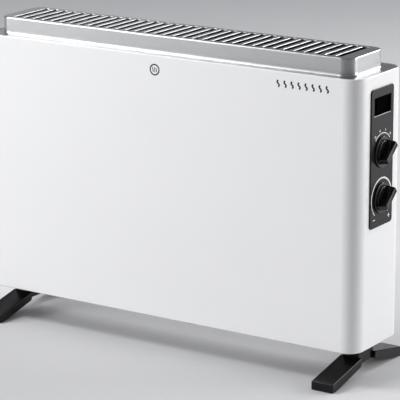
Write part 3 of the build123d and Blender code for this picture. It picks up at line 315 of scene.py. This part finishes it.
FINISHES = {
    "white_paint": white_enamel(),
    "silver_paint": silver_lacquer(),
    "foot_plastic": plastic("foot_black", (0.003, 0.003, 0.003), (0.006, 0.006, 0.0065),
                            rough=(0.18, 0.25), grain=1300, depth_mm=0.003, Specular_IOR_Level=0.22),
    "panel_plastic": plastic("panel_grey", (0.011, 0.011, 0.012), (0.016, 0.016, 0.017),
                             rough=(0.20, 0.27), grain=1500, depth_mm=0.004, Specular_IOR_Level=0.18),
    "knob_plastic": plastic("knob_black", (0.003, 0.003, 0.003), (0.006, 0.006, 0.006),
                            rough=(0.20, 0.28), grain=1500, depth_mm=0.003, Specular_IOR_Level=0.4),
    "rocker_plastic": plastic("rocker_black", (0.0015, 0.0015, 0.0015), (0.003, 0.003, 0.003),
                              rough=(0.24, 0.32), grain=900, depth_mm=0.002, Specular_IOR_Level=0.0),
    "zinc_steel": zinc_plate(),
    "bright_aluminium": rolled_metal("bright_aluminium", (0.60, 0.61, 0.62), (0.80, 0.81, 0.82),
                                     rough=(0.20, 0.36)),
    "element_aluminium": heated_aluminium(),
    "screw_steel": rolled_metal("screw_steel", (0.42, 0.43, 0.44), (0.62, 0.62, 0.60),
                                rough=(0.28, 0.45), along=(8, 8, 1)),
    "shaft_steel": rolled_metal("shaft_steel", (0.45, 0.45, 0.46), (0.66, 0.66, 0.67),
                                rough=(0.22, 0.38), along=(30, 2, 2)),
    "contact_brass": brass(),
    "ceramic_white": steatite(),
    "switch_plastic": plastic("ivory_thermoset", (0.60, 0.55, 0.42), (0.72, 0.67, 0.54),
                              rough=(0.40, 0.55), grain=900, depth_mm=0.02),
    "cutout_plastic": plastic("phenolic_brown", (0.07, 0.035, 0.02), (0.12, 0.06, 0.035),
                              rough=(0.35, 0.5), grain=900, depth_mm=0.02),
    "lamination_steel": laminations(),
    "coil_tape": coil_tape(),
    "impeller_plastic": plastic("impeller_grey", (0.05, 0.05, 0.052), (0.085, 0.085, 0.088),
                                rough=(0.42, 0.58), grain=1100, depth_mm=0.03),
    "gland_plastic": plastic("nylon_black", (0.010, 0.010, 0.010), (0.018, 0.018, 0.018),
                             rough=(0.38, 0.52), grain=1100, depth_mm=0.02),
    "grommet_rubber": plastic("rubber_black", (0.012, 0.012, 0.012), (0.022, 0.022, 0.022),
                              rough=(0.62, 0.80), grain=900, depth_mm=0.04),
}

for row in frame["record"]["subparts"]:
    piece = nodes[row["node"]]
    for slot in piece.material_slots:
        slot.material = FINISHES[row["material_slot"]]

PALE_INK = printed_ink("pale_ink", (0.78, 0.78, 0.78), (0.88, 0.88, 0.87))
GREY_INK = printed_ink("grey_ink", (0.004, 0.004, 0.004), (0.009, 0.009, 0.010))


# ---------------------------------------------------------------- printed marks

INK_OUT = 0.05 * MM
INK_IN = 0.03 * MM
WELD = 0.001 * MM


def add_piece(name, mesh, material):
    """Turn a finished bmesh into an object with one material."""
    data = bpy.data.meshes.new(name)
    mesh.to_mesh(data)
    mesh.free()
    data.materials.append(material)
    piece = bpy.data.objects.new(name, data)
    bpy.context.scene.collection.objects.link(piece)
    return piece


def ribbon(points, widths, closed=False):
    """Outline strips of a band along flat points: a list of quads, each four (u, v) pairs."""
    count = len(points)
    sides = []
    for i, (u, v) in enumerate(points):
        before = points[i - 1] if closed or i else points[i]
        after = points[(i + 1) % count] if closed or i < count - 1 else points[i]
        along = Vector((after[0] - before[0], after[1] - before[1])).normalized()
        half = widths[i] / 2
        sides.append(((u - along.y * half, v + along.x * half), (u + along.y * half, v - along.x * half)))
    last = count if closed else count - 1
    quads = []
    for i in range(last):
        (a, b), (c, d) = sides[i], sides[(i + 1) % count]
        quads.append((a, b, d, c))
    return quads


def arc_band(radius, start, end, width_start, width_end, steps=48):
    """Band along an arc round the joint's axis; angles are in degrees from straight up, clockwise."""
    points, widths = [], []
    for i in range(steps + 1):
        share = i / steps
        angle = radians(start + (end - start) * share)
        points.append((radius * sin(angle), radius * cos(angle)))
        widths.append(width_start + (width_end - width_start) * share)
    return ribbon(points, widths)


def ring(centre, radius, width, steps=40):
    points = [(centre[0] + radius * sin(2 * pi * i / steps), centre[1] + radius * cos(2 * pi * i / steps))
              for i in range(steps)]
    return ribbon(points, [width] * steps, closed=True)


def disc(centre, radius, steps=24):
    return ring(centre, radius / 2, radius, steps)


def bar(centre, length, width, angle=0.0):
    """Short straight band; angle is in degrees from straight up, clockwise."""
    along = (sin(radians(angle)) * length / 2, cos(radians(angle)) * length / 2)
    ends = [(centre[0] - along[0], centre[1] - along[1]), (centre[0] + along[0], centre[1] + along[1])]
    return ribbon(ends, [width, width])


def wave(centre, height, sway, width, steps=24):
    """Upright wavy line, as in a heat symbol."""
    points = [(centre[0] + sway * sin(2 * pi * i / steps), centre[1] + height * (i / steps - 0.5))
              for i in range(steps + 1)]
    return ribbon(points, [width] * (steps + 1))


def fan_symbol(centre, radius):
    """Three short blades around a hub."""
    quads = disc(centre, radius * 0.22)
    for turn in (0, 120, 240):
        lean = radians(turn + 20)
        middle = (centre[0] + sin(lean) * radius * 0.6, centre[1] + cos(lean) * radius * 0.6)
        quads += bar(middle, radius * 0.8, radius * 0.42, turn)
    return quads


def print_on(name, quads, material, place, body):
    """Thin film of ink: every quad becomes part of one closed sheet, INK_OUT proud of the surface.
    place turns (u, v, out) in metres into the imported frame."""
    mesh = bmesh.new()
    for quad in quads:
        low = [mesh.verts.new(place @ Vector((u, v, -INK_IN))) for u, v in quad]
        top = [mesh.verts.new(place @ Vector((u, v, INK_OUT))) for u, v in quad]
        mesh.faces.new(top)
        mesh.faces.new(low[::-1])
        for i in range(4):
            j = (i + 1) % 4
            mesh.faces.new((low[i], low[j], top[j], top[i]))
    bmesh.ops.remove_doubles(mesh, verts=mesh.verts, dist=WELD)
    shared = {}
    for face in mesh.faces:
        shared.setdefault(frozenset(face.verts), []).append(face)
    inner_walls = [face for faces in shared.values() if len(faces) > 1 for face in faces]
    bmesh.ops.delete(mesh, geom=inner_walls, context="FACES_ONLY")
    bmesh.ops.recalc_face_normals(mesh, faces=mesh.faces)
    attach(add_piece(name, mesh, material), body)


def millimetres(quads):
    return [tuple((u * MM, v * MM) for u, v in quad) for quad in quads]


def panel_place(joint_name):
    """On the control end, u runs towards the back and v up, from the joint's axis."""
    at = joints[joint_name]["pos_m"]
    return Matrix(((0, 0, 1, PANEL_FACE), (1, 0, 0, at[1]), (0, 1, 0, at[2]), (0, 0, 0, 1)))


# Sizes of the marks, in millimetres and degrees
SELECTOR_ARC_R = 24.7
SELECTOR_ARC_ENDS = (-46, 52)
SELECTOR_ARC_W = 1.1
SYMBOL_R = 28.9
SYMBOL_ANGLES = (-39, -13, 16, 44.5)
OFF_RING = (1.4, 0.8)
FAN_R = 2.1
SYMBOL_BAR = (3.4, 0.9)
HIGH_BARS_PITCH = 1.8
THERMOSTAT_ARC_R = 26.2
THERMOSTAT_ARC_ENDS = (-139, 20, 141)
THERMOSTAT_ARC_WS = (1.1, 2.1, 1.6)
MINUS_AT = (-19.0, -26.0)
PLUS_AT = (19.3, -27.0)
SIGN_L = 5.4
SIGN_W = 1.1
PLUS_ARM = 2.2


def selector_marks():
    """Arc over the upper knob, with off, fan, low and high heat."""
    quads = arc_band(SELECTOR_ARC_R, *SELECTOR_ARC_ENDS, SELECTOR_ARC_W, SELECTOR_ARC_W)
    off, fan, low, high = [(SYMBOL_R * sin(radians(angle)), SYMBOL_R * cos(radians(angle)))
                           for angle in SYMBOL_ANGLES]
    quads += ring(off, *OFF_RING)
    quads += fan_symbol(fan, FAN_R)
    quads += bar(low, *SYMBOL_BAR)
    for shift in (-HIGH_BARS_PITCH / 2, HIGH_BARS_PITCH / 2):
        quads += bar((high[0] + shift, high[1]), *SYMBOL_BAR)
    return quads


def thermostat_marks():
    """Tapering arc round the lower knob, from a minus to a plus."""
    start, middle, end = THERMOSTAT_ARC_ENDS
    thin, thick, last = THERMOSTAT_ARC_WS
    quads = arc_band(THERMOSTAT_ARC_R, start, middle, thin, thick, steps=64)
    quads += arc_band(THERMOSTAT_ARC_R, middle, end, thick, last)
    quads += bar(MINUS_AT, SIGN_L, SIGN_W, 90)
    quads += bar(PLUS_AT, SIGN_L, SIGN_W, 90)
    shift = (SIGN_W + PLUS_ARM) / 2
    quads += bar((PLUS_AT[0], PLUS_AT[1] + shift), PLUS_ARM, SIGN_W)
    quads += bar((PLUS_AT[0], PLUS_AT[1] - shift), PLUS_ARM, SIGN_W)
    return quads


for mark, quads, joint_name in (("selector_scale", selector_marks(), "selector_turn"),
                                ("thermostat_scale", thermostat_marks(), "thermostat_turn")):
    print_on(mark, millimetres(quads), PALE_INK, panel_place(joint_name), "heater")


# On the front, u runs along the heater and v up, from the casing's middle at its top edge.
FRONT_PLACE = Matrix(((1, 0, 0, MIDDLE_X), (0, 0, -1, FRONT_Y), (0, 1, 0, BODY_TOP), (0, 0, 0, 1)))
ROUNDEL_AT = (-9.0, -19.5)
ROUNDEL_R = 6.9
ROUNDEL_W = 1.9
ROUNDEL_WAVE = (6.6, 0.6, 1.2)
ROUNDEL_WAVE_PITCH = 2.7
HEAT_LINES = 8
HEAT_LINE_PITCH = 10.3
HEAT_LINES_U = 181.0
HEAT_LINES_V = -16.0
HEAT_LINE = (8.6, 1.4, 2.4)


def heat_roundel():
    """Plain ring with a heat symbol, centred on the front below the grille."""
    u, v = ROUNDEL_AT
    quads = ring(ROUNDEL_AT, ROUNDEL_R, ROUNDEL_W, steps=56)
    for step in (-ROUNDEL_WAVE_PITCH, 0, ROUNDEL_WAVE_PITCH):
        quads += wave((u + step, v), *ROUNDEL_WAVE)
    return quads


def heat_lines():
    """Row of wavy lines near the control end, where such heaters carry a printed mark."""
    quads = []
    for i in range(HEAT_LINES):
        quads += wave((HEAT_LINES_U + HEAT_LINE_PITCH * i, HEAT_LINES_V), *HEAT_LINE)
    return quads


print_on("front_roundel", millimetres(heat_roundel()), GREY_INK, FRONT_PLACE, "heater")
print_on("front_heat_lines", millimetres(heat_lines()), GREY_INK, FRONT_PLACE, "heater")


# ---------------------------------------------------------------- studio

FLOOR_HALF = 25.0
FLOOR_STEPS = 14
AIM = (0, 0, 0.22)
WORLD_COLOUR = (0.92, 0.94, 1.0, 1)
WORLD_STRENGTH = 0.25


def studio_floor():
    """Plain pale sheet that runs far behind the heater."""
    mesh = bmesh.new()
    bmesh.ops.create_grid(mesh, x_segments=FLOOR_STEPS, y_segments=FLOOR_STEPS, size=FLOOR_HALF)
    add_piece("studio_floor", mesh, floor_paper())


def softbox(name, place, size, power):
    """Soft rectangular light that faces the heater; size is width and height, power is in watts."""
    light = bpy.data.lights.new(name, "AREA")
    light.shape = "RECTANGLE"
    light.size, light.size_y = size
    light.energy = power
    lamp = bpy.data.objects.new(name, light)
    lamp.location = place
    lamp.rotation_euler = (Vector(AIM) - Vector(place)).to_track_quat("-Z", "Y").to_euler()
    lamp.visible_camera = False
    bpy.context.scene.collection.objects.link(lamp)


def studio_lights():
    softbox("left_box", place=(-3.2, -2.9, 1.25), size=(1.8, 1.4), power=128)
    softbox("right_box", place=(2.5, 1.9, 0.85), size=(1.4, 1.4), power=58)
    softbox("top_box", place=(-1.4, -0.6, 2.2), size=(0.8, 0.8), power=26)
    softbox("back_box", place=(0.9, 2.3, 1.6), size=(1.0, 0.8), power=34)
    softbox("rear_left_box", place=(-2.6, 2.7, 1.4), size=(1.4, 0.8), power=1.6)
    world = bpy.data.worlds.new("studio")
    world.use_nodes = True
    background = world.node_tree.nodes["Background"]
    background.inputs["Color"].default_value = WORLD_COLOUR
    background.inputs["Strength"].default_value = WORLD_STRENGTH
    bpy.context.scene.world = world
    bpy.context.scene.view_settings.view_transform = "Standard"


# ---------------------------------------------------------------- camera

LENS = 210.5
SENSOR_W = 36.0
YAW, PITCH, ROLL = 33.394, 14.979, -0.211
CAMERA_AT = (1.68776, -2.53932, 1.01119)


def camera():
    data = bpy.data.cameras.new("camera")
    data.lens = LENS
    data.sensor_width = SENSOR_W
    eye = bpy.data.objects.new("camera", data)
    yaw, pitch = radians(YAW), radians(PITCH)
    forward = Vector((-sin(yaw) * cos(pitch), cos(yaw) * cos(pitch), -sin(pitch)))
    right = Vector((cos(yaw), sin(yaw), 0))
    up = right.cross(forward)
    turn = Matrix((right, up, -forward)).transposed() @ Matrix.Rotation(radians(ROLL), 3, "Z")
    eye.matrix_world = Matrix.Translation(CAMERA_AT) @ turn.to_4x4()
    bpy.context.scene.collection.objects.link(eye)
    bpy.context.scene.camera = eye


studio_floor()
studio_lights()
camera()
